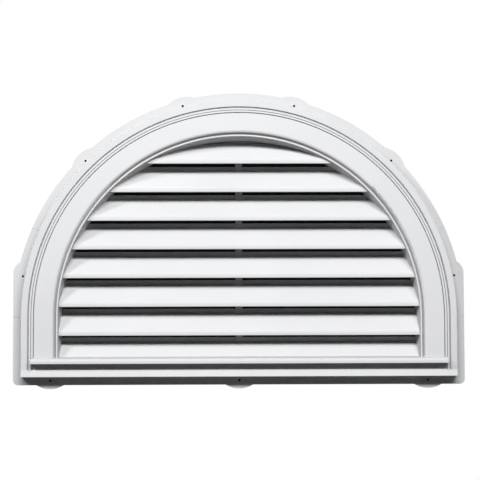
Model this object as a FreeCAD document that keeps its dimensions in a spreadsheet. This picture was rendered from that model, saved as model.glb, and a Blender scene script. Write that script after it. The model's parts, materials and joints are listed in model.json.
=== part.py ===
import FreeCAD, Part

import math
import os

import Sketcher

# Half-round louvered gable vent with a nailing flange, moulded in one piece, and the insect screen
# welded to its back. Millimetres. The origin is the centre of the arch on the wall plane, which is the
# back face of the flange. X runs along the sill, Z is up, and the front of the vent faces -Y.

SIZES = {
    # nailing flange
    "flange_half": (431.8, "half the overall width, and the radius of the flange's arch"),
    "flange_drop": (129.0, "from the spring line down to the flange's bottom edge"),
    "flange_margin": (17.0, "how far the flange stands out of the frame round the arch and sides"),
    "rail_margin": (15.0, "how far the flange stands out under the bottom rail"),
    "flange_thick": (2.5, "thickness of the flange"),
    "flange_corner": (10.0, "radius of the flange's bottom corners"),
    "tab_half": (26.0, "half the width of a nailing tab"),
    "tab_rise": (7.5, "how far a tab stands out of the flange's edge"),
    "shoulder_low": (88.0, "height where the straight side of the flange ends"),
    "shoulder_rise": (18.0, "from there up to where the shoulder meets the arch"),
    "shoulder_round": (26.0, "radius of the shoulder"),
    "nail_radius": (2.2, "radius of a nail hole"),
    "nail_gap": (6.3, "from the frame to the middle of a nail hole round the arch"),
    "nail_drop": (6.6, "from the bottom rail down to the middle of a nail hole"),
    "nail_in": (71.0, "from the flange's side to the outer bottom nail holes"),
    "nail_crown": (14.8, "degrees of the upper nail holes from the crown"),
    "nail_haunch": (44.4, "degrees of the middle nail holes from the crown"),
    "nail_side": (79.2, "degrees of the lower nail holes from the crown"),
    "score_width": (1.2, "width of the witness lines across the flange"),
    "score_depth": (0.5, "depth of the witness lines"),
    "score_angle": (23.4, "degrees of the upper witness lines above the spring line"),
    # section of the frame, as widths from its outer face inwards
    "band_width": (14.0, "outer band, to the middle of the first moulding line"),
    "reed_width": (5.6, "outer reed, from the first line to the second, where the sill's ends stop"),
    "fillet_width": (5.0, "inner reed, from the second line to the third"),
    "casing_width": (44.0, "flat face and quirk, from the third line to the middle of the bead"),
    "cove_radius": (6.0, "rounding between the flat face and the quirk beside the bead"),
    "bead_radius": (1.9, "radius of the bead"),
    "quirk_width": (2.8, "width of the quirk beside the bead"),
    "quirk_depth": (4.0, "how far the quirk's floor falls towards the bead"),
    "first_width": (3.4, "width of the first moulding line, beside the band"),
    "first_depth": (4.0, "depth of the first moulding line"),
    "second_width": (1.4, "width of the second moulding line"),
    "second_depth": (2.6, "depth of the second moulding line"),
    "third_width": (2.2, "width of the third moulding line"),
    "third_depth": (3.6, "depth of the third moulding line"),
    "edge_bevel": (1.0, "bevel along the outer front edge of the frame"),
    # the same section, as steps to the front and back
    "band_front": (30.0, "front of the outer band and of the rail's upper edge, from the wall plane"),
    "reed_step": (1.2, "how far the outer reed stands in front of the band"),
    "fillet_step": (1.6, "how far the inner reed stands in front of the outer one"),
    "casing_step": (1.2, "how far the flat face stands in front of the inner reed"),
    "bead_set": (4.0, "how far the bead's middle lies behind the flat face"),
    "recess_depth": (4.0, "how far the recess under the sill lies behind the band"),
    "sill_reach": (12.0, "how far the sill stands in front of the flat face"),
    "rim_back": (16.0, "how far the collar goes behind the wall plane"),
    "rim_wall": (5.6, "wall thickness of the collar at its back edge"),
    "jamb_draft": (4.8, "taper of the jamb from front to back"),
    "wall": (2.8, "wall thickness of the moulding"),
    "skin": (5.6, "wall thickness behind the moulding lines"),
    # bottom rail, recess and sill, from the bottom upwards
    "rail_high": (13.5, "height of the bottom rail"),
    "rail_lean": (3.0, "how far the rail's lower edge stands in front of its upper one"),
    "recess_high": (11.0, "height of the recess between rail and sill"),
    "sill_high": (11.1, "height of the sill's front"),
    "sill_fall": (3.0, "fall of the sill's top from back to front"),
    "sill_round": (6.5, "rounding of the sill's front top edge"),
    "sill_edge": (1.5, "rounding of the sill's front bottom edge"),
    # louver blades
    "blade_count": (8, "number of blades, the lowest behind the sill"),
    "crown_gap": (53.3, "from the bead's crown down to the top blade's lower edge"),
    "blade_sunk": (12.0, "how far the lowest blade's lower edge lies under the sill's top"),
    "blade_set": (10.0, "how far a blade's nose lies behind the flat face"),
    "blade_angle": (45.0, "degrees of the slope from level"),
    "blade_thick": (2.6, "thickness of a blade"),
    "nose_high": (8.0, "height of a blade's upright nose"),
    "nose_round": (3.0, "length of the nose's rounding into the slope"),
    "nose_edge": (1.2, "rounding of the nose's lower edge"),
    "upstand_high": (7.4, "height of the upstand at a blade's back edge"),
    "upstand_thick": (3.0, "thickness of that upstand"),
    "mullion_width": (13.0, "width of the middle bar behind the blades"),
    "mullion_depth": (5.0, "depth of the middle bar"),
    # stiffening ribs in the open back of the frame
    "rib_thick": (2.0, "thickness of a rib"),
    "rib_bite": (0.6, "how far a rib runs into the walls it stiffens"),
    "rib_back": (6.0, "how far a rib's back edge lies in front of the wall plane"),
    "rib_count": (9, "ribs round the arch, those at both ends counted"),
    # insect screen
    "screen_thick": (0.6, "thickness of the screen"),
    "screen_lap": (3.0, "how far the screen laps onto the collar's back edge"),
    "screen_hem": (4.0, "width of the pressed hem round the screen"),
    "hem_thick": (0.3, "how far the hem stands out of the screen's back"),
}

doc = FreeCAD.newDocument("gable_vent")
sheet = doc.addObject("Spreadsheet::Sheet", "Dims")
for row, (alias, (value, note)) in enumerate(SIZES.items(), start=1):
    sheet.set("A%d" % row, alias)
    sheet.set("B%d" % row, str(value))
    sheet.set("C%d" % row, note)
    sheet.setAlias("B%d" % row, alias)
doc.recompute()


class Size:
    """A number and the sheet formula that gives it, so a sketch is drawn and bound in one go."""

    def __init__(self, text, value):
        self.text = text
        self.value = value

    def join(self, sign, other, value):
        return Size("(%s %s %s)" % (self.text, sign, other.text), value)

    def __add__(self, other):
        other = size(other)
        return self.join("+", other, self.value + other.value)

    def __sub__(self, other):
        other = size(other)
        return self.join("-", other, self.value - other.value)

    def __mul__(self, other):
        other = size(other)
        return self.join("*", other, self.value * other.value)

    def __truediv__(self, other):
        other = size(other)
        return self.join("/", other, self.value / other.value)

    def __neg__(self):
        return Size("(0 - %s)" % self.text, -self.value)


def size(number):
    return number if isinstance(number, Size) else Size(repr(number), number)


def sin(angle):
    return Size("sin(%s)" % angle.text, math.sin(math.radians(angle.value)))


def cos(angle):
    return Size("cos(%s)" % angle.text, math.cos(math.radians(angle.value)))


def tan(angle):
    return Size("tan(%s)" % angle.text, math.tan(math.radians(angle.value)))


def root(number):
    return Size("sqrt(%s)" % number.text, math.sqrt(number.value))


class Sheet:
    """The sheet's cells as sizes: D.wall is the cell named wall."""

    def __getattr__(self, alias):
        return Size("Dims.%s" % alias, float(sheet.get(alias)))


D = Sheet()

# Radii of the frame's lines from the centre of the arch, which are also their distances from the middle
# where the frame runs straight down.
band_out = D.flange_half - D.flange_margin
line_one = band_out - D.band_width
line_two = line_one - D.reed_width
line_three = line_two - D.fillet_width
bead_mid = line_three - D.casing_width
jamb_front = bead_mid - D.bead_radius
jamb_back = jamb_front - D.jamb_draft

# Fronts, as distances from the wall plane.
reed_front = D.band_front + D.reed_step
fillet_front = reed_front + D.fillet_step
casing_front = fillet_front + D.casing_step
bead_level = casing_front - D.bead_set
recess_front = D.band_front - D.recess_depth
sill_front = casing_front + D.sill_reach
rail_front = D.band_front + D.rail_lean
blade_front = casing_front - D.blade_set

# Levels, as distances below the spring line.
rail_bottom = D.flange_drop - D.rail_margin
rail_top = rail_bottom - D.rail_high
sill_bottom = rail_top - D.recess_high
sill_top = sill_bottom - D.sill_high

# The blades are spaced evenly from the crown of the bead to the sill.
blade_high = bead_mid - D.crown_gap
lip_low = -(sill_top + D.blade_sunk)
blade_pitch = (blade_high - lip_low) / (D.blade_count - 1)
blade_run = blade_front + D.rim_back - D.upstand_thick


def plane_of(body, role):
    return [f for f in body.Origin.OriginFeatures if f.Role == role][0]


def sketch_on(body, role, name, lift=None):
    """A sketch on one of the body's own origin planes, lifted along the plane's normal if asked."""
    sketch = body.newObject("Sketcher::SketchObject", name)
    sketch.AttachmentSupport = (plane_of(body, role), [""])
    sketch.MapMode = "FlatFace"
    if lift is not None:
        sketch.setExpression("AttachmentOffset.Base.z", lift.text)
    doc.recompute()
    return sketch


def bind(sketch, kind, *where):
    """Add a dimension whose last argument is a size, and bind it to the sheet."""
    number = where[-1]
    index = sketch.addConstraint(Sketcher.Constraint(kind, *where[:-1], number.value))
    if "Dims." in number.text:
        sketch.setExpression("Constraints[%d]" % index, number.text)


def outline(sketch, corners):
    """Draw a closed outline. A corner is (across, up), and (across, up, radius) if the side that leaves it
    is an arc: a positive radius turns left on the way, a negative one right."""
    corners = [[size(number) for number in corner] for corner in corners]
    ends = []
    for here, there in zip(corners, corners[1:] + corners[:1]):
        a = FreeCAD.Vector(here[0].value, here[1].value, 0)
        b = FreeCAD.Vector(there[0].value, there[1].value, 0)
        if len(here) == 2:
            side = sketch.addGeometry(Part.LineSegment(a, b), False)
            ends.append((side, 1, 2))
            continue
        radius = abs(here[2].value)
        left = here[2].value > 0
        chord = b - a
        across = FreeCAD.Vector(-chord.y, chord.x, 0).normalize()
        reach = math.sqrt(max(radius**2 - chord.Length**2 / 4, 0))
        centre = (a + b) * 0.5 + across * (reach if left else -reach)
        start, stop = (a, b) if left else (b, a)
        angles = [math.atan2(p.y - centre.y, p.x - centre.x) for p in (start, stop)]
        circle = Part.Circle(centre, FreeCAD.Vector(0, 0, 1), radius)
        side = sketch.addGeometry(Part.ArcOfCircle(circle, angles[0], angles[1]), False)
        ends.append((side, 1, 2) if left else (side, 2, 1))
    for here, there in zip(ends, ends[1:] + ends[:1]):
        sketch.addConstraint(Sketcher.Constraint("Coincident", here[0], here[2], there[0], there[1]))
    for corner, (side, first, last) in zip(corners, ends):
        bind(sketch, "DistanceX", -1, 1, side, first, corner[0])
        bind(sketch, "DistanceY", -1, 1, side, first, corner[1])
        if len(corner) == 3:
            bind(sketch, "Radius", side, corner[2] if corner[2].value > 0 else -corner[2])


def circle(sketch, across, up, radius):
    middle = FreeCAD.Vector(size(across).value, size(up).value, 0)
    index = sketch.addGeometry(Part.Circle(middle, FreeCAD.Vector(0, 0, 1), radius.value), False)
    bind(sketch, "DistanceX", -1, 1, index, 3, size(across))
    bind(sketch, "DistanceY", -1, 1, index, 3, size(up))
    bind(sketch, "Radius", index, radius)


def arch(radius, drop):
    """A stilted half circle: the arch at this radius, its legs and its level bottom."""
    return [
        (radius, size(0), radius),
        (size(0), radius, radius),
        (-radius, size(0)),
        (-radius, -drop),
        (radius, -drop),
    ]


def pad(body, sketch, name, length, symmetric=False, backwards=False):
    feature = body.newObject("PartDesign::Pad", name)
    feature.Profile = sketch
    feature.setExpression("Length", length.text)
    feature.SideType = "Symmetric" if symmetric else "One side"
    feature.Reversed = backwards
    body.Tip = feature
    doc.recompute()
    return feature


def pocket(body, sketch, name, depth=None, symmetric=False):
    """Cut the sketch into the body, to a depth or right through both ways."""
    before = body.Shape.Volume
    feature = body.newObject("PartDesign::Pocket", name)
    feature.Profile = sketch
    feature.Type = "Length" if depth else "ThroughAll"
    if depth:
        feature.setExpression("Length", depth.text)
    feature.SideType = "Symmetric" if symmetric or not depth else "One side"
    body.Tip = feature
    doc.recompute()
    if body.Shape.Volume > before - 0.1:
        raise RuntimeError("%s cuts nothing" % name)
    return feature


def mirror(body, feature, name):
    copy = body.newObject("PartDesign::Mirrored", name)
    copy.Originals = [feature]
    copy.MirrorPlane = (plane_of(body, "YZ_Plane"), [""])
    body.Tip = copy
    doc.recompute()
    return copy


vent = doc.addObject("PartDesign::Body", "louvered_vent")
vent.Label = "louvered_vent"

# A blade: upright nose, rounded into a slope that rises to the back, with an upstand on its back edge.
# Sketches on the YZ plane run along +Y, so a height in front of the wall plane is a negative number.
slope = tan(D.blade_angle)
under = D.blade_thick * root(size(1) + slope * slope)
slope_end = D.nose_high + blade_run * slope
blade_top = slope_end + D.upstand_high
nose_radius = D.nose_round / tan((size(90) - D.blade_angle) / 2)
blade_sketch = sketch_on(vent, "YZ_Plane", "blade_section")
outline(
    blade_sketch,
    [
        (-(blade_front - D.blade_thick), blade_high),
        (-(blade_front - D.blade_thick), blade_high + D.nose_high + D.blade_thick * slope - under),
        (D.rim_back, blade_high + D.nose_high + (blade_front + D.rim_back) * slope - under),
        (D.rim_back, blade_high + blade_top),
        (blade_run - blade_front, blade_high + blade_top),
        (blade_run - blade_front, blade_high + slope_end),
        (
            D.nose_round * cos(D.blade_angle) - blade_front,
            blade_high + D.nose_high + D.nose_round * sin(D.blade_angle),
            nose_radius,
        ),
        (-blade_front, blade_high + D.nose_high - D.nose_round),
        (-blade_front, blade_high + D.nose_edge, D.nose_edge),
        (D.nose_edge - blade_front, blade_high),
    ],
)
blade = pad(vent, blade_sketch, "blade", (jamb_front + D.wall * 2) * 2, symmetric=True)
blades = vent.newObject("PartDesign::LinearPattern", "blades")
blades.Originals = [blade]
blades.Direction = (blade_sketch, ["V_Axis"])
blades.Reversed = True
blades.Mode = "Spacing"
blades.setExpression("Offset", blade_pitch.text)
blades.setExpression("Occurrences", D.blade_count.text)
vent.Tip = blades
doc.recompute()

# The middle bar ties the back edges of the blades together.
mullion_sketch = sketch_on(vent, "YZ_Plane", "mullion_section")
outline(
    mullion_sketch,
    [
        (D.rim_back - D.mullion_depth, lip_low + slope_end),
        (D.rim_back, lip_low + slope_end),
        (D.rim_back, jamb_front),
        (D.rim_back - D.mullion_depth, jamb_front),
    ],
)
pad(vent, mullion_sketch, "mullion", D.mullion_width, symmetric=True)

# Blades and bar are cut off inside the thickness of the jamb, which is moulded round their ends next.
jamb_mid = (jamb_front + jamb_back + D.rim_wall) / 2
spare = D.wall * 8
trim_sketch = sketch_on(vent, "XZ_Plane", "jamb_trim")
outline(
    trim_sketch,
    [
        (jamb_front + spare, -D.flange_drop),
        (jamb_front + spare, jamb_front + blade_pitch),
        (-jamb_front - spare, jamb_front + blade_pitch),
        (-jamb_front - spare, -D.flange_drop),
    ],
)
outline(trim_sketch, arch(jamb_mid, D.flange_drop - D.wall))
pocket(vent, trim_sketch, "blades_trimmed")


def edge_of_band():
    """The frame's outer wall and front band, from the wall plane to the first moulding line."""
    return [
        (band_out, size(0)),
        (band_out, -D.band_front),
        (line_one + D.first_width / 2, -D.band_front),
        (line_one, -(D.band_front - D.first_depth)),
        (line_one - D.first_width / 2, -reed_front),
    ]


# The frame's section: outer wall, band, two reeds between three lines, flat face, bead and the jamb, which
# tapers back to a collar behind the wall plane. It is a thin wall, open at the back as a moulding is.
cove_out = bead_mid + D.bead_radius + D.quirk_width + D.cove_radius
cove_end = casing_front - D.cove_radius
quirk = cove_end - D.quirk_depth
section = sketch_on(vent, "XY_Plane", "frame_section")
outline(
    section,
    edge_of_band()
    + [
        (line_two + D.second_width / 2, -reed_front),
        (line_two, -(reed_front - D.second_depth)),
        (line_two - D.second_width / 2, -fillet_front),
        (line_three + D.third_width / 2, -fillet_front),
        (line_three, -(fillet_front - D.third_depth)),
        (line_three - D.third_width / 2, -casing_front),
        (cove_out, -casing_front, -D.cove_radius),
        (cove_out - D.cove_radius, -cove_end),
        (bead_mid + D.bead_radius, -quirk),
        (bead_mid + D.bead_radius, -bead_level, -D.bead_radius),
        (bead_mid, -(bead_level + D.bead_radius), -D.bead_radius),
        (jamb_front, -bead_level),
        (jamb_back, D.rim_back),
        (jamb_back + D.rim_wall, D.rim_back),
        (jamb_front + D.wall, -(quirk - D.wall)),
        (cove_out - D.cove_radius + D.wall, -(quirk - D.wall)),
        (cove_out + D.wall, -(casing_front - D.wall)),
        (line_three - D.third_width * 3, -(casing_front - D.wall)),
        (line_three - D.third_width * 1.5, -(D.band_front - D.skin)),
        (band_out - D.wall, -(D.band_front - D.skin)),
        (band_out - D.wall, size(0)),
    ],
)
arch_part = vent.newObject("PartDesign::Revolution", "arch")
arch_part.Profile = section
arch_part.ReferenceAxis = (section, ["V_Axis"])
arch_part.Angle = 180
arch_part.Reversed = True
vent.Tip = arch_part
doc.recompute()
leg = pad(vent, section, "leg", sill_bottom - D.wall / 2, backwards=True)
mirror(vent, leg, "legs")

# Under the sill only the band and the outer reed go on down, to the top of the bottom rail.
foot_sketch = sketch_on(vent, "XY_Plane", "foot_section", -(sill_bottom - D.wall))
outline(
    foot_sketch,
    edge_of_band()
    + [
        (line_two, -reed_front),
        (line_two, -(recess_front - D.wall)),
        (line_two + D.wall, -(recess_front - D.wall)),
        (line_two + D.wall, -(D.band_front - D.skin)),
        (band_out - D.wall, -(D.band_front - D.skin)),
        (band_out - D.wall, size(0)),
    ],
)
foot = pad(vent, foot_sketch, "foot", rail_top - sill_bottom + D.wall * 1.5, backwards=True)
mirror(vent, foot, "feet")

# Bottom rail and the recess above it.
rail_sketch = sketch_on(vent, "YZ_Plane", "rail_section")
outline(
    rail_sketch,
    [
        (size(0), -rail_bottom),
        (size(0), -(rail_bottom - D.wall)),
        (-(rail_front - D.wall), -(rail_bottom - D.wall)),
        (-(D.band_front - D.wall), -(rail_top + D.wall)),
        (-(recess_front - D.wall), -(rail_top + D.wall)),
        (-(recess_front - D.wall), -(sill_bottom - D.wall / 2)),
        (-recess_front, -(sill_bottom - D.wall / 2)),
        (-recess_front, -rail_top),
        (-D.band_front, -rail_top),
        (-rail_front, -rail_bottom),
    ],
)
pad(vent, rail_sketch, "rail", (band_out - D.wall) * 2, symmetric=True)
rail_end_sketch = sketch_on(vent, "YZ_Plane", "rail_end_section", band_out - D.wall)
outline(
    rail_end_sketch,
    [
        (size(0), -rail_bottom),
        (size(0), -rail_top),
        (-D.band_front, -rail_top),
        (-rail_front, -rail_bottom),
    ],
)
rail_end = pad(vent, rail_end_sketch, "rail_end", D.wall)
rail_ends = mirror(vent, rail_end, "rail_ends")


def outer_edge(edge):
    """Whether an edge runs along the outer front edge of the frame, over the arch or round the rail."""
    for p in edge.discretize(5):
        side = math.hypot(p.x, p.z) if p.z > 0 else abs(p.x)
        outside = abs(side - band_out.value) < 0.001 or abs(p.z + rail_bottom.value) < 0.001
        lean = D.rail_lean.value * max(0, -p.z - rail_top.value) / D.rail_high.value
        if abs(p.y + D.band_front.value + lean) > 0.001 or not outside:
            return False
    return True


bevel = vent.newObject("PartDesign::Chamfer", "outer_bevel")
bevel.Base = (rail_ends, ["Edge%d" % n for n, e in enumerate(rail_ends.Shape.Edges, 1) if outer_edge(e)])
bevel.setExpression("Size", D.edge_bevel.text)
vent.Tip = bevel
doc.recompute()

# The sill stands out in front of the face; its top falls forward and runs back into the lowest blade.
sill_back = blade_front - (D.sill_fall - sill_top - lip_low - D.nose_high) / slope


def nose_of_sill():
    return [
        (-(recess_front - D.wall), -sill_bottom),
        (-(sill_front - D.sill_edge), -sill_bottom, -D.sill_edge),
        (-sill_front, -(sill_bottom - D.sill_edge)),
        (-sill_front, -(sill_top + D.sill_round), -D.sill_round),
        (-(sill_front - D.sill_round), -sill_top),
    ]


sill_sketch = sketch_on(vent, "YZ_Plane", "sill_section")
outline(
    sill_sketch,
    nose_of_sill()
    + [
        (-sill_back, D.sill_fall - sill_top),
        (-sill_back, D.sill_fall - sill_top - D.wall),
        (-(sill_front - D.sill_round), -(sill_top + D.wall)),
        (-(sill_front - D.wall), -(sill_top + D.sill_round)),
        (-(sill_front - D.wall), -(sill_bottom - D.wall)),
        (-(recess_front - D.wall), -(sill_bottom - D.wall)),
    ],
)
pad(vent, sill_sketch, "sill", (line_two - D.wall / 2) * 2, symmetric=True)
sill_end_sketch = sketch_on(vent, "YZ_Plane", "sill_end_section", line_two - D.wall)
outline(sill_end_sketch, nose_of_sill() + [(-(recess_front - D.wall), -sill_top)])
sill_end = pad(vent, sill_end_sketch, "sill_end", D.wall)
mirror(vent, sill_end, "sill_ends")


# Nailing flange: arch with four tabs, straight sides with a shoulder each, three tabs along the bottom.
def on_arch(angle, radius):
    """The point of the arch at so many degrees from the crown, on the right-hand side."""
    return sin(angle) * radius, cos(angle) * radius


tab_radius = (D.tab_half * D.tab_half + D.tab_rise * D.tab_rise) / (D.tab_rise * 2)
tab_turn = D.tab_half / D.flange_half * (180 / math.pi)
shoulder_high = D.shoulder_low + D.shoulder_rise
shoulder_across = root(D.flange_half * D.flange_half - shoulder_high * shoulder_high)
right_side = [
    (D.flange_half, D.shoulder_low, D.shoulder_round),
    (shoulder_across, shoulder_high, D.flange_half),
]
for nail in (D.nail_haunch, D.nail_crown):
    low = on_arch(nail + tab_turn, D.flange_half)
    high = on_arch(nail - tab_turn, D.flange_half)
    right_side.append((low[0], low[1], tab_radius))
    right_side.append((high[0], high[1], D.flange_half))
left_side = []
for here, before in zip(reversed(right_side), reversed([None] + right_side[:-1])):
    turn = before[2] if before else None
    left_side.append((-here[0], here[1]) + ((turn,) if turn else ()))
foot_line = -D.flange_drop
nail_sill = D.flange_half - D.nail_in
bottom = []
for middle in (-nail_sill, size(0), nail_sill):
    bottom.append((middle - D.tab_half, foot_line, tab_radius))
    bottom.append((middle + D.tab_half, foot_line))
flange_sketch = sketch_on(vent, "XZ_Plane", "flange_outline")
outline(
    flange_sketch,
    right_side
    + left_side
    + [
        (-D.flange_half, foot_line + D.flange_corner, D.flange_corner),
        (D.flange_corner - D.flange_half, foot_line),
    ]
    + bottom
    + [
        (D.flange_half - D.flange_corner, foot_line, D.flange_corner),
        (D.flange_half, foot_line + D.flange_corner),
    ],
)
outline(flange_sketch, arch(band_out - D.wall, rail_bottom - D.wall))
pad(vent, flange_sketch, "flange", D.flange_thick)

# Nail holes, then the witness lines that the mould leaves across the flange.
nail_sketch = sketch_on(vent, "XZ_Plane", "nail_places")
for nail in (D.nail_crown, D.nail_haunch, D.nail_side):
    across, up = on_arch(nail, band_out + D.nail_gap)
    circle(nail_sketch, across, up, D.nail_radius)
    circle(nail_sketch, -across, up, D.nail_radius)
for middle in (-nail_sill, size(0), nail_sill):
    circle(nail_sketch, middle, -(rail_bottom + D.nail_drop), D.nail_radius)
pocket(vent, nail_sketch, "nail_holes", D.flange_thick * 4, symmetric=True)
score_sketch = sketch_on(vent, "XZ_Plane", "witness_lines", D.flange_thick)
near = band_out + D.score_width / 2
far = D.flange_half + D.score_width
half = D.score_width / 2
for angle in (size(0), D.score_angle):
    for mirrored in (1, -1):
        corners = []
        for radius, shift in ((near, -half), (far, -half), (far, half), (near, half)):
            across = cos(angle) * radius - sin(angle) * shift
            up = sin(angle) * radius + cos(angle) * shift
            corners.append((across * mirrored, up))
        outline(score_sketch, corners)
pocket(vent, score_sketch, "witness_lines_cut", D.score_depth)

# Ribs across the open back of the frame, from the jamb to the outer wall.
rib_sketch = sketch_on(vent, "XY_Plane", "rib_section")
outline(
    rib_sketch,
    [
        (jamb_front + D.wall / 2, -D.rib_back),
        (band_out - D.wall / 2, -D.rib_back),
        (band_out - D.wall / 2, -(D.band_front - D.skin + D.rib_bite)),
        (line_three - D.third_width, -(D.band_front - D.skin + D.rib_bite)),
        (line_three - D.third_width * 2.5, -(casing_front - D.wall + D.rib_bite)),
        (cove_out + D.wall, -(casing_front - D.wall + D.rib_bite)),
        (cove_out - D.cove_radius + D.wall, -(quirk - D.wall + D.rib_bite)),
        (jamb_front + D.wall / 2, -(quirk - D.wall + D.rib_bite)),
    ],
)
rib = pad(vent, rib_sketch, "rib", D.rib_thick, symmetric=True)
ribs = vent.newObject("PartDesign::PolarPattern", "ribs")
ribs.Originals = [rib]
ribs.Axis = (rib_sketch, ["V_Axis"])
ribs.Angle = 180
ribs.Reversed = True
ribs.setExpression("Occurrences", D.rib_count.text)
vent.Tip = ribs
doc.recompute()

# Insect screen: a thin woven sheet with a pressed hem, welded flat to the collar, the bar and the blades.
screen = doc.addObject("PartDesign::Body", "insect_screen")
screen.Label = "insect_screen"
screen_edge = jamb_back + D.screen_lap
screen_drop = -(lip_low + slope_end)
screen_sketch = sketch_on(screen, "XZ_Plane", "screen_outline", -D.rim_back)
outline(screen_sketch, arch(screen_edge, screen_drop))
pad(screen, screen_sketch, "sheet", D.screen_thick, backwards=True)
hem_sketch = sketch_on(screen, "XZ_Plane", "hem_outline", -(D.rim_back + D.screen_thick))
outline(hem_sketch, arch(screen_edge, screen_drop))
outline(hem_sketch, arch(screen_edge - D.screen_hem, screen_drop - D.screen_hem))
pad(screen, hem_sketch, "hem", D.hem_thick, backwards=True)

doc.recompute()
for item in doc.Objects:
    if "Invalid" in item.State or "Error" in item.State:
        raise RuntimeError("%s did not build: %s" % (item.Name, item.State))

os.makedirs("parts", exist_ok=True)
for body in (vent, screen):
    shape = body.Shape
    if not shape.isValid() or len(shape.Solids) != 1:
        raise RuntimeError("%s is not one valid solid" % body.Label)
    shape.exportStep("parts/%s.step" % body.Label)
    print(body.Label, round(shape.Volume / 1000, 2), "cm3", shape.BoundBox)
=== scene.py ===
import json
import math

import bpy
import numpy as np
from bpy.props import FloatProperty, FloatVectorProperty, IntProperty, PointerProperty
from mathutils import Euler, Matrix, Vector


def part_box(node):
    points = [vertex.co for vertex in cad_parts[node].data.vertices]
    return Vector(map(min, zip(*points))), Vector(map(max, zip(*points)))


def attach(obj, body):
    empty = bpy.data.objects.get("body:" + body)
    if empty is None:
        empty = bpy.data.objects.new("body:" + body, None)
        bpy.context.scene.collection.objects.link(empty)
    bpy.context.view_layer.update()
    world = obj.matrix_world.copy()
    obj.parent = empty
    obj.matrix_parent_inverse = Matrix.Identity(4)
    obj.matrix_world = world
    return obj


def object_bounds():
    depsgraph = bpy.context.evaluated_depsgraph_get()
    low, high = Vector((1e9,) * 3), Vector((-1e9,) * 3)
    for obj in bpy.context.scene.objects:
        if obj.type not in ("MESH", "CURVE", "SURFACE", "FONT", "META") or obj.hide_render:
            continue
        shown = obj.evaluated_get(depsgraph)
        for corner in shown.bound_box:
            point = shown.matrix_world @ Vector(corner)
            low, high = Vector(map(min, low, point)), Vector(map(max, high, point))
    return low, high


bl_info = {
    "name": "Half-Round Gable Vent",
    "version": (1, 0, 0),
    "blender": (4, 5, 0),
    "location": "3D Viewport > Sidebar > Vent",
    "description": "Finishes a half-round gable vent, weaves its insect screen and sets up a studio picture",
    "category": "Object",
}

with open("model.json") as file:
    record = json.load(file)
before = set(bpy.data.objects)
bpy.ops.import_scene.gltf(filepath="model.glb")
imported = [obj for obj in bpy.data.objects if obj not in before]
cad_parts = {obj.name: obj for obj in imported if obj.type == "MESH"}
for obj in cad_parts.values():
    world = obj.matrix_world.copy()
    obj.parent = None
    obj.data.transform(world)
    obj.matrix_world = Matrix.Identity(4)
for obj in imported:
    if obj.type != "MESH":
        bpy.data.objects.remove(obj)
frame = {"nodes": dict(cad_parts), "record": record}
CAD_BOX = [list(corner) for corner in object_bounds()]
MOULDING = frame["nodes"]["louvered_vent"]
SCREEN = frame["nodes"]["insect_screen"]

# Edges between the regions of the moulding where its painted light and shade change, in metres: each is a
# soft step from its first value to its second.
JAMB_EDGE = (0.346, 0.343)  # radius, from the jamb in to the blades
NOSE_EDGE = (-0.0235, -0.0215)  # depth, from a blade's nose back to its slope
BAND_EDGE = (0.394, 0.4)  # radius, from the moulding lines out to the outer band
FRAME_EDGE = (0.406, 0.413)  # radius, from the outer band out to the flange
RAIL_EDGE = (-0.108, -0.112)  # height, from the rail down to the flange
WALL_EDGE = (-0.006, -0.0026)  # depth, from the frame back to the flange's face

# Patterns of the finishes, by the sockets of the Noise Texture
FLOW_BANDS = {"Scale": 5.0, "Detail": 3.0, "Distortion": 0.6}
POLISH_PATCHES = {"Scale": 40.0, "Detail": 2.0}
ETCHED_GRAIN = {"Scale": 1300.0, "Detail": 2.0}
UNEVEN_COAT = {"Scale": 160.0, "Detail": 3.0}
PAPER_MOTTLE = {"Scale": 3.0, "Detail": 2.0}
HOLE_SHADE_MOTTLE = {"Scale": 400.0, "Detail": 2.0}
WAVE_PERIOD = math.tau / 20.0  # length of one band of the Wave Texture at a scale of 1

# Insect screen: places and tone of the threads
SHEET_SHARE = 2.0 / 3.0  # share of the screen's depth that its sheet takes; the hem takes all of it
UPRIGHT_PROUD = 0.5  # how far an upright thread's middle stands behind the sheet, in diameters
LEVEL_PROUD = 0.1  # the same for a level thread
COAT_LIFT = 1.6  # how much lighter the coating is where it lies thickest

# Stage: greys, discs, lamps and camera
PAPER_GREYS = (0.79, 0.81)
REFLECTOR_GREY = 0.06
# Greys of the painted shade behind the nail holes.
HOLE_SHADE_GREYS = (0.006, 0.012)
FLOOR_GRID = (24, 96)  # rings and spokes of the floor
SHADE_DISC_GRID = (3, 24)  # rings and spokes of the painted shade disc behind a nail hole
SHADE_DISC_REACH = 1.15  # radius of that disc, in radii of the hole
SHADE_DISC_GAP = 0.0004  # how far it lies behind the flange, in metres
MIDDLE = 1e-6  # share of a disc's area that its innermost ring leaves open
LAMP_REACH = 3.0  # from a softbox to the point that it faces, in metres
LAMP_AIM = Vector((0.0, 0.0, 0.12))  # that point
# Each softbox has the name of its power, its degrees to the right of the front and above the level, and its
# width and height in metres.
SOFTBOXES = {
    "key_softbox": ("key_power", 3.0, 28.0, 2.2, 0.5),
    "left_softbox": ("left_power", -43.0, 28.0, 0.45, 0.45),
    "right_softbox": ("right_power", 30.0, 20.0, 0.6, 0.6),
    "rear_left_softbox": ("rear_power", -135.0, 30.0, 0.9, 0.9),
    "rear_right_softbox": ("rear_power", 135.0, 30.0, 0.9, 0.9),
}
SENSOR_WIDTH = 36.0  # of the camera, in millimetres
FAR_END = 50.0  # of the camera's sight, in metres


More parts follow.
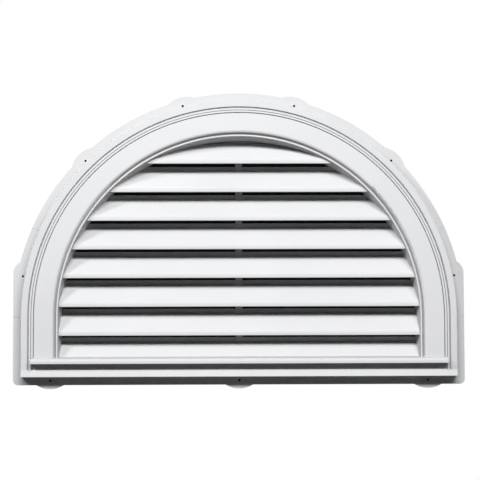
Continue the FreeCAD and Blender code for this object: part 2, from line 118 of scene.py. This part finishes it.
class MouldingFinish(bpy.types.PropertyGroup):
    """Finish of the white plastic moulding, with painted light and shade by region."""

    pale: FloatVectorProperty(
        name="Pale White",
        description="Colour of the plastic where it flowed clean",
        subtype="COLOR",
        size=3,
        min=0.0,
        max=1.0,
        default=(0.845, 0.85, 0.862),
    )
    dull: FloatVectorProperty(
        name="Dull White",
        description="Colour of the plastic in its slightly greyer flow bands",
        subtype="COLOR",
        size=3,
        min=0.0,
        max=1.0,
        default=(0.815, 0.822, 0.835),
    )
    smooth: FloatProperty(
        name="Smooth Roughness",
        description="Roughness where the mould was polished best",
        subtype="FACTOR",
        min=0.0,
        max=1.0,
        default=0.42,
    )
    matt: FloatProperty(
        name="Matt Roughness",
        description="Roughness where the mould was etched most",
        subtype="FACTOR",
        min=0.0,
        max=1.0,
        default=0.56,
    )
    # Painted light: the blades' tone is raised to stand in for the extra light that their up-facing slopes
    # catch.
    painted_blade_light: FloatProperty(
        name="Painted Blade Light",
        description="How much paler the smooth blades are than the finely etched frame",
        subtype="FACTOR",
        min=0.0,
        max=0.1,
        default=0.09,
    )
    # Painted shade: the flange beside and below the frame is painted greyer, standing in for the shade that
    # falls on it.
    painted_flange_shade: FloatProperty(
        name="Painted Flange Shade",
        description="Share of the light that gets lost through the thin flange",
        subtype="FACTOR",
        min=0.0,
        max=1.0,
        default=0.07,
    )
    # Painted shade: the outer band is painted a little greyer, standing in for the lower light that falls on
    # it.
    painted_band_shade: FloatProperty(
        name="Painted Band Shade",
        description="Share of the light that gets lost through the thin outer band",
        subtype="FACTOR",
        min=0.0,
        max=1.0,
        default=0.035,
    )
    bounce: FloatProperty(
        name="Bounce",
        description="Share of its light that the plastic passes on in the render, low so that gaps stay dark",
        subtype="FACTOR",
        min=0.0,
        max=1.0,
        default=0.32,
    )
    grain_depth: FloatProperty(
        name="Grain Depth",
        description="Height of the fine etched grain",
        unit="LENGTH",
        min=0.0,
        default=0.00004,
    )
    edge_radius: FloatProperty(
        name="Edge Radius",
        description="Small radius that the mould leaves on every edge",
        unit="LENGTH",
        min=0.0,
        default=0.0005,
    )


class ScreenWeave(bpy.types.PropertyGroup):
    """Sizes and colours of the insect screen's weave."""

    pitch: FloatProperty(
        name="Thread Pitch",
        description="Distance between neighbouring threads",
        unit="LENGTH",
        min=0.0005,
        default=0.0016,
    )
    thread: FloatProperty(
        name="Thread Diameter",
        description="Diameter of one coated glass thread",
        unit="LENGTH",
        min=0.0001,
        default=0.00026,
    )
    hem: FloatProperty(
        name="Hem Width",
        description="Width of the pressed hem that the threads run into",
        unit="LENGTH",
        min=0.001,
        default=0.004,
    )
    sides: IntProperty(
        name="Thread Sides",
        description="Sides of a thread's cross-section",
        min=3,
        max=12,
        default=6,
    )
    charcoal: FloatVectorProperty(
        name="Charcoal",
        description="Colour of the coated threads",
        subtype="COLOR",
        size=3,
        min=0.0,
        max=1.0,
        default=(0.04, 0.041, 0.045),
    )
    # Painted shade: the dark between the threads stands in for the shade seen through the open mesh.
    gap: FloatVectorProperty(
        name="Painted Gap Shade",
        description="Colour of the dark between the threads",
        subtype="COLOR",
        size=3,
        min=0.0,
        max=1.0,
        default=(0.012, 0.012, 0.0135),
    )


class StudioStage(bpy.types.PropertyGroup):
    """Camera, lamps and floor of the studio picture."""

    lens: FloatProperty(
        name="Lens",
        description="Focal length of the camera, in millimetres on a sensor 36 mm wide",
        subtype="DISTANCE_CAMERA",
        min=10.0,
        default=131.25,
    )
    place: FloatVectorProperty(
        name="Camera Place",
        description="Where the camera stands",
        subtype="TRANSLATION",
        unit="LENGTH",
        size=3,
        default=(-0.0647, -3.355, -0.0935),
    )
    turn: FloatProperty(
        name="Camera Turn",
        description="Turn of the camera about the upright axis",
        subtype="ANGLE",
        default=math.radians(-1.141),
    )
    tilt: FloatProperty(
        name="Camera Tilt",
        description="Tilt of the camera above the level",
        subtype="ANGLE",
        default=math.radians(4.115),
    )
    roll: FloatProperty(
        name="Camera Roll",
        description="Roll of the camera about its own line of sight",
        subtype="ANGLE",
        default=math.radians(-0.197),
    )
    key_power: FloatProperty(
        name="Key Power",
        description="Power of the wide softbox above the camera",
        subtype="POWER",
        min=0.0,
        default=72.0,
    )
    left_power: FloatProperty(
        name="Left Power",
        description="Power of the softbox on the left",
        subtype="POWER",
        min=0.0,
        default=24.0,
    )
    right_power: FloatProperty(
        name="Right Power",
        description="Power of the softbox on the right",
        subtype="POWER",
        min=0.0,
        default=6.0,
    )
    rear_power: FloatProperty(
        name="Rear Power",
        description="Power of each of the two softboxes behind the vent, which light its back and sides",
        subtype="POWER",
        min=0.0,
        default=60.0,
    )
    fill: FloatProperty(
        name="Fill",
        description="Strength of the even light from all round",
        min=0.0,
        default=0.015,
    )
    floor_drop: FloatProperty(
        name="Floor Drop",
        description="How far the floor lies below the hanging vent",
        unit="LENGTH",
        min=0.0,
        default=0.28,
    )
    floor_radius: FloatProperty(
        name="Floor Radius",
        description="Radius of the floor",
        unit="LENGTH",
        min=0.5,
        default=1.2,
    )


def new_material(name):
    """An empty node material, its tree, and the socket that gives a point's place on the piece."""
    material = bpy.data.materials.new(name)
    material.use_nodes = True
    tree = material.node_tree
    tree.nodes.clear()
    return material, tree, add_node(tree, "ShaderNodeTexCoord").outputs["Object"]


def add_node(tree, kind, inputs=None, **settings):
    """Add a node, set its own settings, then its input sockets: a value is set, a socket is linked."""
    node = tree.nodes.new(kind)
    for name, value in settings.items():
        setattr(node, name, value)
    for name, value in (inputs or {}).items():
        if isinstance(value, bpy.types.NodeSocket):
            tree.links.new(value, node.inputs[name])
        else:
            node.inputs[name].default_value = value
    return node


def noise(tree, place, pattern):
    """The level of a noise pattern at a place."""
    return add_node(tree, "ShaderNodeTexNoise", {"Vector": place, **pattern}).outputs["Fac"]


def grey(level):
    """A colour with no tint."""
    return level, level, level


def two_tone(tree, factor, low, high, start, stop):
    """A ramp from the low colour at the start to the high one at the stop; gives the ramp's colour socket."""
    ramp = add_node(tree, "ShaderNodeValToRGB", {"Fac": factor})
    first, last = ramp.color_ramp.elements
    first.position = start
    last.position = stop
    first.color = (*low, 1.0)
    last.color = (*high, 1.0)
    return ramp.outputs["Color"]


def soft_step(tree, value, edge, amount):
    """A share that grows from nothing at the edge's first value to the amount at its second."""
    start, stop = edge
    step = add_node(
        tree, "ShaderNodeMapRange", {"Value": value, "From Min": start, "From Max": stop, "To Max": amount}
    )
    return step.outputs["Result"]


def math_node(tree, operation, first, second):
    """The result of an operation on two numbers, each a socket or a plain value."""
    node = add_node(tree, "ShaderNodeMath", operation=operation)
    for socket, value in zip(node.inputs, (first, second)):
        if isinstance(value, bpy.types.NodeSocket):
            tree.links.new(value, socket)
        else:
            socket.default_value = value
    return node.outputs["Value"]


def plastic_regions(tree, place, finish):
    """Factor on the plastic's tone by region: painted light and shade. The radius is measured from the arch's
    middle, and sideways below the spring line. Blades are painted paler, as painted light for their up-facing
    slopes: they lie inside the jamb and behind their own noses. The outer band is painted greyer as painted
    shade, and so is the flange, which lies outside the frame at the wall plane."""
    parts = add_node(tree, "ShaderNodeSeparateXYZ", {"Vector": place}).outputs
    above = math_node(tree, "MAXIMUM", parts["Z"], 0.0)
    spot = add_node(tree, "ShaderNodeCombineXYZ", {"X": parts["X"], "Z": above}).outputs["Vector"]
    radius = add_node(tree, "ShaderNodeVectorMath", {"Vector": spot}, operation="LENGTH").outputs["Value"]
    inside = soft_step(tree, radius, JAMB_EDGE, 1.0)
    # Painted light: the blades behind their noses are painted paler.
    blade_light_behind_nose = soft_step(tree, parts["Y"], NOSE_EDGE, finish.painted_blade_light)
    beside = soft_step(tree, radius, FRAME_EDGE, 1.0)
    below = soft_step(tree, parts["Z"], RAIL_EDGE, 1.0)
    outside = math_node(tree, "MAXIMUM", beside, below)
    # Painted shade on the flange at the wall plane.
    flange_shade_at_wall = soft_step(tree, parts["Y"], WALL_EDGE, finish.painted_flange_shade)
    painted_light = math_node(tree, "MULTIPLY", inside, blade_light_behind_nose)
    flange = math_node(tree, "MULTIPLY", outside, flange_shade_at_wall)
    # Painted shade on the outer band.
    band = soft_step(tree, radius, BAND_EDGE, finish.painted_band_shade)
    painted_shade = math_node(tree, "MAXIMUM", flange, band)
    return math_node(tree, "SUBTRACT", math_node(tree, "ADD", 1.0, painted_light), painted_shade)


def white_plastic(finish):
    """Moulded white plastic: flow bands in the tone, patches of polish, an etched grain, soft edges, and
    painted light and shade by region.
    """
    material, tree, place = new_material("moulded_white_plastic")
    gloss = add_node(
        tree,
        "ShaderNodeMapRange",
        {
            "Value": noise(tree, place, POLISH_PATCHES),
            "From Min": 0.3,
            "From Max": 0.7,
            "To Min": finish.smooth,
            "To Max": finish.matt,
        },
    )
    tone = two_tone(tree, noise(tree, place, FLOW_BANDS), finish.dull, finish.pale, 0.35, 0.6)
    bounced = add_node(tree, "ShaderNodeLightPath").outputs["Is Diffuse Ray"]
    share = add_node(tree, "ShaderNodeMapRange", {"Value": bounced, "To Min": 1.0, "To Max": finish.bounce})
    level = math_node(tree, "MULTIPLY", share.outputs["Result"], plastic_regions(tree, place, finish))
    colour = add_node(tree, "ShaderNodeVectorMath", {"Vector": tone, "Scale": level}, operation="SCALE")
    edges = add_node(tree, "ShaderNodeBevel", {"Radius": finish.edge_radius}, samples=6)
    bump = add_node(
        tree,
        "ShaderNodeBump",
        {
            "Strength": 0.5,
            "Distance": finish.grain_depth,
            "Height": noise(tree, place, ETCHED_GRAIN),
            "Normal": edges.outputs["Normal"],
        },
    )
    shader = add_node(
        tree,
        "ShaderNodeBsdfPrincipled",
        {
            "Base Color": colour.outputs["Vector"],
            "Roughness": gloss.outputs["Result"],
            "Normal": bump.outputs["Normal"],
            "IOR": 1.49,
            "Specular IOR Level": 0.2,
        },
    )
    add_node(tree, "ShaderNodeOutputMaterial", {"Surface": shader.outputs["BSDF"]})
    return material


def woven_sheet(weave):
    """Screen seen close: two crossing sets of raised bands for the threads, and painted shade between them,
    near black where the open mesh would let the dark behind it show.
    """
    material, tree, place = new_material("screen_sheet")
    upright, level = (
        add_node(
            tree,
            "ShaderNodeTexWave",
            {"Vector": place, "Scale": WAVE_PERIOD / weave.pitch},
            wave_type="BANDS",
            bands_direction=axis,
        ).outputs["Fac"]
        for axis in ("X", "Z")
    )
    threads = math_node(tree, "MAXIMUM", upright, level)
    bump = add_node(
        tree,
        "ShaderNodeBump",
        {"Strength": 0.6, "Distance": weave.thread, "Height": threads},
    )
    shader = add_node(
        tree,
        "ShaderNodeBsdfPrincipled",
        {
            "Base Color": two_tone(tree, threads, weave.gap, weave.charcoal, 0.8, 0.95),
            "Roughness": 0.8,
            "Specular IOR Level": 0.15,
            "Normal": bump.outputs["Normal"],
        },
    )
    add_node(tree, "ShaderNodeOutputMaterial", {"Surface": shader.outputs["BSDF"]})
    return material


def coated_thread(weave):
    """Charcoal coating of the threads, a little uneven in tone and gloss along them."""
    material, tree, place = new_material("screen_thread")
    coat = noise(tree, place, UNEVEN_COAT)
    lighter = [channel * COAT_LIFT for channel in weave.charcoal]
    gloss = add_node(tree, "ShaderNodeMapRange", {"Value": coat, "To Min": 0.5, "To Max": 0.75})
    shader = add_node(
        tree,
        "ShaderNodeBsdfPrincipled",
        {
            "Base Color": two_tone(tree, coat, weave.charcoal, lighter, 0.35, 0.65),
            "Roughness": gloss.outputs["Result"],
            "Specular IOR Level": 0.3,
        },
    )
    add_node(tree, "ShaderNodeOutputMaterial", {"Surface": shader.outputs["BSDF"]})
    return material


def seen_or_mirrored(tree):
    """One for a ray from the camera, off a gloss or through glass, and nothing for light passed on."""
    path = add_node(tree, "ShaderNodeLightPath").outputs
    mirrored = math_node(tree, "MAXIMUM", path["Is Glossy Ray"], path["Is Transmission Ray"])
    return math_node(tree, "MAXIMUM", path["Is Camera Ray"], mirrored)


def mottled_grey(tree, place, pattern, greys):
    """A matt surface that wanders between two greys."""
    low, high = greys
    tone = two_tone(tree, noise(tree, place, pattern), grey(low), grey(high), 0.3, 0.7)
    return add_node(tree, "ShaderNodeBsdfDiffuse", {"Color": tone}).outputs["BSDF"]


def pale_floor():
    """Pale floor: paper white with the vent's shadow where it is seen, and dim as a reflector."""
    material, tree, place = new_material("pale_floor")
    paper = mottled_grey(tree, place, PAPER_MOTTLE, PAPER_GREYS)
    dim = add_node(tree, "ShaderNodeBsdfDiffuse", {"Color": (*grey(REFLECTOR_GREY), 1.0)})
    choice = add_node(tree, "ShaderNodeMixShader", {"Fac": seen_or_mirrored(tree)})
    tree.links.new(dim.outputs["BSDF"], choice.inputs[1])
    tree.links.new(paper, choice.inputs[2])
    add_node(tree, "ShaderNodeOutputMaterial", {"Surface": choice.outputs["Shader"]})
    return material


def wall_shadow():
    """Painted shade behind a nail hole: nearly black, faintly mottled."""
    material, tree, place = new_material("wall_shadow")
    dark = mottled_grey(tree, place, HOLE_SHADE_MOTTLE, HOLE_SHADE_GREYS)
    add_node(tree, "ShaderNodeOutputMaterial", {"Surface": dark})
    return material


def mesh_object(name, points, faces, material):
    """A smooth mesh object at the origin from whole arrays of points and four-cornered faces."""
    mesh = bpy.data.meshes.new(name)
    mesh.from_pydata(points.reshape(-1, 3).tolist(), [], faces.reshape(-1, 4).tolist())
    mesh.polygons.foreach_set("use_smooth", np.full(len(mesh.polygons), True))
    mesh.materials.append(material)
    mesh.update()
    piece = bpy.data.objects.new(name, mesh)
    bpy.context.scene.collection.objects.link(piece)
    return piece


def round_faces(rows, columns):
    """Corner numbers of the quads of a grid of rows by columns points whose last column joins the first."""
    row, column = np.meshgrid(np.arange(rows - 1), np.arange(columns), indexing="ij")
    after = (column + 1) % columns
    near = row * columns
    far = near + columns
    return np.stack([near + column, near + after, far + after, far + column], axis=-1).reshape(-1, 4)


def thread_tubes(starts, ends, radius, sides):
    """Straight tubes between pairs of points in an XZ plane: around each line a circle of the given radius,
    with its axes across the line in the plane and along Y."""
    along = (ends - starts) / np.linalg.norm(ends - starts, axis=1, keepdims=True)
    depth = np.array([0.0, 1.0, 0.0])
    across = np.cross(along, depth)
    angle = (np.arange(sides) * math.tau / sides)[None, :, None]
    ring = radius * (np.cos(angle) * across[:, None, :] + np.sin(angle) * depth)
    points = np.stack([starts[:, None, :] + ring, ends[:, None, :] + ring], axis=1)
    faces = round_faces(2, sides)[None] + (np.arange(len(starts)) * 2 * sides)[:, None, None]
    return points, faces


def screen_lines(weave):
    """End points of the threads: upright ones end on the arch and on the level bottom, level ones on the arch
    or on its straight legs, all at the inner edge of the hem."""
    low, high = (np.array(corner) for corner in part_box("insect_screen"))
    radius = high[2] - weave.hem
    bottom = low[2] + weave.hem
    across = np.arange(-radius + weave.pitch, radius, weave.pitch)
    rise = np.arange(bottom + weave.pitch, radius, weave.pitch)
    top = np.sqrt(radius**2 - across**2)
    half = np.sqrt(radius**2 - np.maximum(rise, 0.0) ** 2)
    sheet_back = low[1] + (high[1] - low[1]) * SHEET_SHARE
    back = np.full_like(across, sheet_back + weave.thread * UPRIGHT_PROUD)
    fore = np.full_like(rise, sheet_back + weave.thread * LEVEL_PROUD)
    foot = np.full_like(across, bottom)
    upright = np.column_stack([across, back, foot]), np.column_stack([across, back, top])
    level = np.column_stack([-half, fore, rise]), np.column_stack([half, fore, rise])
    return upright, level


def ring_grid(radius, rings, spokes):
    """A flat disc as a function of ring and angle: a ring's radius grows as the square root of its number, so
    that all rings have about the same area."""
    reach = radius * np.sqrt(np.linspace(MIDDLE, 1.0, rings))[:, None]
    angle = (np.arange(spokes) * math.tau / spokes)[None, :]
    return np.stack([reach * np.cos(angle), reach * np.sin(angle), np.zeros_like(reach * angle)], axis=-1)


class VENT_OT_finish_moulding(bpy.types.Operator):
    """Give the moulded vent its white plastic"""

    bl_idname = "vent.finish_moulding"
    bl_label = "Finish Moulding"

    def execute(self, context):
        MOULDING.material_slots[0].material = white_plastic(context.scene.vent_moulding)
        return {"FINISHED"}


class VENT_OT_weave_screen(bpy.types.Operator):
    """Weave the threads of the insect screen and give the sheet that they lie on its painted shade"""

    bl_idname = "vent.weave_screen"
    bl_label = "Weave Screen"

    def execute(self, context):
        weave = context.scene.vent_screen
        # The closed sheet gets a dark material: painted shade in place of the open mesh.
        SCREEN.material_slots[0].material = woven_sheet(weave)
        coating = coated_thread(weave)
        upright, level = screen_lines(weave)
        for name, (starts, ends) in (("screen_warp", upright), ("screen_weft", level)):
            points, faces = thread_tubes(starts, ends, weave.thread / 2, weave.sides)
            piece = mesh_object(name, points, faces, coating)
            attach(piece, "root")
        return {"FINISHED"}


class VENT_OT_build_stage(bpy.types.Operator):
    """Set up the floor, the painted shade discs behind the nail holes, the white surround, the softboxes and
    the camera
    """

    bl_idname = "vent.build_stage"
    bl_label = "Build Stage"

    def execute(self, context):
        stage = context.scene.vent_stage
        self.floor(stage)
        self.hole_shade_discs()
        self.surround(context.scene, stage)
        for name, (power, *setting) in SOFTBOXES.items():
            self.softbox(name, getattr(stage, power), *setting)
        self.camera(context.scene, stage)
        return {"FINISHED"}

    def floor(self, stage):
        """A round floor below the hanging vent."""
        disc = ring_grid(stage.floor_radius, *FLOOR_GRID)
        disc[..., 2] = CAD_BOX[0][2] - stage.floor_drop
        mesh_object("floor", disc, round_faces(*FLOOR_GRID), pale_floor())

    def hole_shade_discs(self):
        """A small dark disc behind each nail hole, painted shade for the dark seen through the hole: the vent
        keeps its open holes.
        """
        dark = wall_shadow()
        holes = {}
        for mount in frame["record"]["mounts"]:
            if mount["kind"] == "bolt_pattern":
                across, _, up = mount["pos_m"]
                half = mount["dims"]["spacing_x_mm"] / 2000.0
                radius = mount["dims"]["hole_r_mm"] / 1000.0
                for side in (-half, half):
                    holes[round(across + side, 4), up] = radius
        for number, ((across, up), radius) in enumerate(holes.items(), start=1):
            disc = ring_grid(radius * SHADE_DISC_REACH, *SHADE_DISC_GRID)[..., [0, 2, 1]]
            disc += (across, SHADE_DISC_GAP, up)
            mesh_object("nail_backing_%d" % number, disc, round_faces(*SHADE_DISC_GRID), dark)

    def surround(self, scene, stage):
        """A world that is white where it is seen and lights the vent only faintly."""
        world = bpy.data.worlds.new("white_surround")
        world.use_nodes = True
        tree = world.node_tree
        tree.nodes.clear()
        strength = add_node(
            tree, "ShaderNodeMapRange", {"Value": seen_or_mirrored(tree), "To Min": stage.fill, "To Max": 1.0}
        )
        surround = add_node(
            tree,
            "ShaderNodeBackground",
            {"Color": (*grey(1.0), 1.0), "Strength": strength.outputs["Result"]},
        )
        add_node(tree, "ShaderNodeOutputWorld", {"Surface": surround.outputs["Background"]})
        scene.world = world
        scene.view_settings.view_transform = "Standard"

    def softbox(self, name, power, azimuth, elevation, width, height):
        """A soft lamp that faces the vent, so many degrees to the right of its front and above the level."""
        lamp = bpy.data.lights.new(name, "AREA")
        lamp.shape = "RECTANGLE"
        lamp.size = width
        lamp.size_y = height
        lamp.energy = power
        lamp_object = bpy.data.objects.new(name, lamp)
        turn = Euler((math.radians(-elevation), 0.0, math.radians(azimuth)))
        aim = turn.to_matrix() @ Vector((0.0, -LAMP_REACH, 0.0))
        lamp_object.location = aim + LAMP_AIM
        lamp_object.rotation_euler = (-aim).to_track_quat("-Z", "Y").to_euler()
        bpy.context.scene.collection.objects.link(lamp_object)

    def camera(self, scene, stage):
        """The camera, turned about the upright axis, then tilted up and rolled."""
        eye = bpy.data.cameras.new("camera")
        eye.sensor_fit = "HORIZONTAL"
        eye.sensor_width = SENSOR_WIDTH
        eye.lens = stage.lens
        eye.clip_end = FAR_END
        camera = bpy.data.objects.new("camera", eye)
        camera.matrix_world = (
            Matrix.Translation(stage.place)
            @ Matrix.Rotation(stage.turn, 4, "Z")
            @ Matrix.Rotation(math.pi / 2 + stage.tilt, 4, "X")
            @ Matrix.Rotation(stage.roll, 4, "Z")
        )
        scene.collection.objects.link(camera)
        scene.camera = camera


class VENT_PT_sidebar(bpy.types.Panel):
    """Steps that dress the vent, with the sizes and colours that they use"""

    bl_label = "Gable Vent"
    bl_idname = "VENT_PT_sidebar"
    bl_space_type = "VIEW_3D"
    bl_region_type = "UI"
    bl_category = "Vent"

    def draw(self, context):
        for operator, group in STEPS:
            box = self.layout.box()
            box.operator(operator.bl_idname)
            settings = getattr(context.scene, group)
            for name in settings.bl_rna.properties.keys():
                if name not in ("rna_type", "name"):
                    box.prop(settings, name)


GROUPS = {
    "vent_moulding": MouldingFinish,
    "vent_screen": ScreenWeave,
    "vent_stage": StudioStage,
}
STEPS = (
    (VENT_OT_finish_moulding, "vent_moulding"),
    (VENT_OT_weave_screen, "vent_screen"),
    (VENT_OT_build_stage, "vent_stage"),
)
CLASSES = (*GROUPS.values(), *(operator for operator, group in STEPS), VENT_PT_sidebar)


def register():
    for item in CLASSES:
        bpy.utils.register_class(item)
    for name, group in GROUPS.items():
        setattr(bpy.types.Scene, name, PointerProperty(type=group))


def unregister():
    for name in GROUPS:
        delattr(bpy.types.Scene, name)
    for item in reversed(CLASSES):
        bpy.utils.unregister_class(item)


def main():
    register()
    bpy.ops.vent.finish_moulding()
    bpy.ops.vent.weave_screen()
    bpy.ops.vent.build_stage()


if __name__ == "__main__":
    main()
